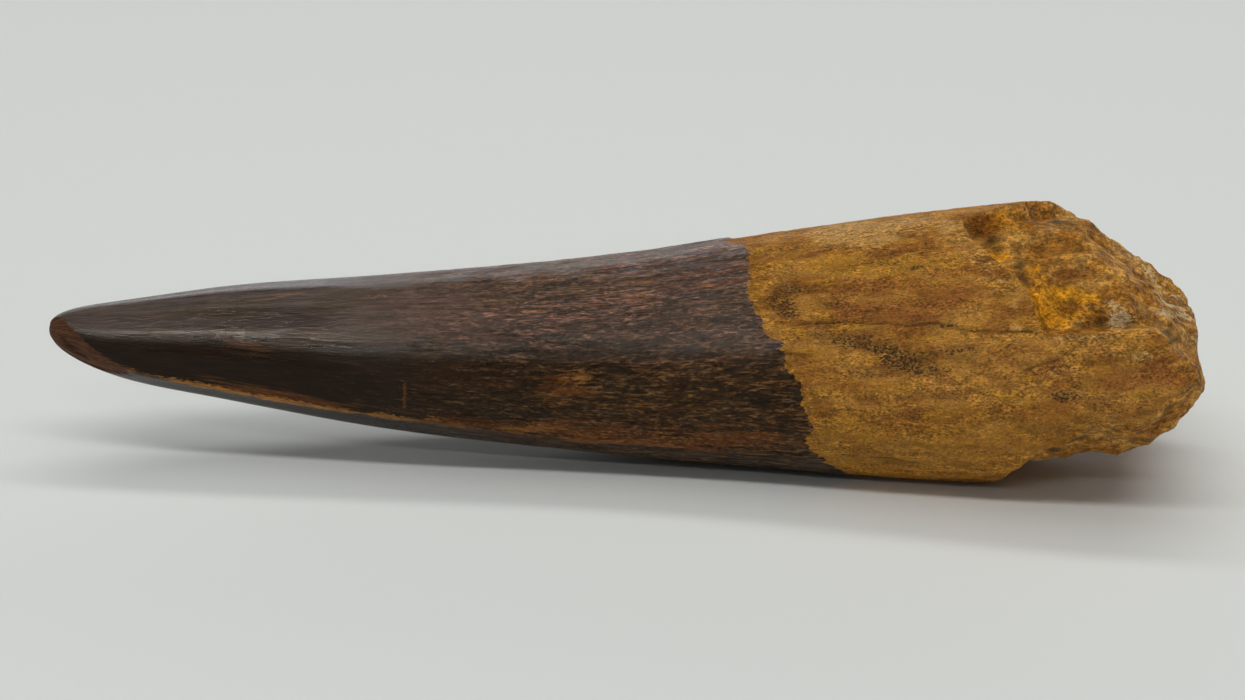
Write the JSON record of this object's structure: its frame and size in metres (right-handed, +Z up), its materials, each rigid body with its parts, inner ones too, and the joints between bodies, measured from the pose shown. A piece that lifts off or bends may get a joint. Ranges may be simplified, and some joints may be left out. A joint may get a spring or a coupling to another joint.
{
  "type": "fossil spinosaurus tooth",
  "caption": "Large conical fossil dinosaur tooth lying on its side, with a dark fluted enamel crown and a tan root broken off at its end.",
  "frame": {"origin": "on the resting surface, below the centre of the bounding box", "axes": "+X along the tooth's length from the tip to the broken root end, +Z up, -Y the side that faces the picture's viewer"},
  "size_m": [0.1054, 0.0265, 0.0246],
  "materials": {
    "fossil_tooth": "satin dark brown wrinkled enamel on the crown, dull tan and orange fibrous root, granular break"
  },
  "bodies": {
    "root": {"tooth": "fossil_tooth"}
  },
  "joints": []
}
